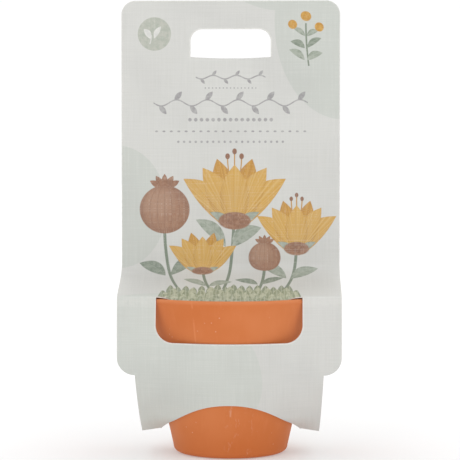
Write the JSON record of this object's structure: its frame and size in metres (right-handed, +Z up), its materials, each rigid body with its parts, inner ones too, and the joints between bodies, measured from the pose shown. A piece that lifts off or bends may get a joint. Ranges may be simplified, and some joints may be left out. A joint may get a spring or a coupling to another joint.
{
  "type": "plant pot in card carrier",
  "caption": "Small tapered plant pot held by its rim in the slots of a folded card carrier with a flat header and a handle hole.",
  "frame": {"origin": "centre of the base of the pot, on the plane it stands on", "axes": "+X to the right seen from the front, -Y towards the front, +Z up along the axis of the pot"},
  "size_m": [0.109, 0.0906, 0.2251],
  "materials": {
    "card": "matte",
    "terracotta_plastic": "satin",
    "coir": "matte",
    "sachet_paper": "matte"
  },
  "bodies": {
    "root": {"card_carrier": "card", "pot": "terracotta_plastic", "coir_disc": "coir", "seed_sachet": "sachet_paper"}
  },
  "joints": []
}
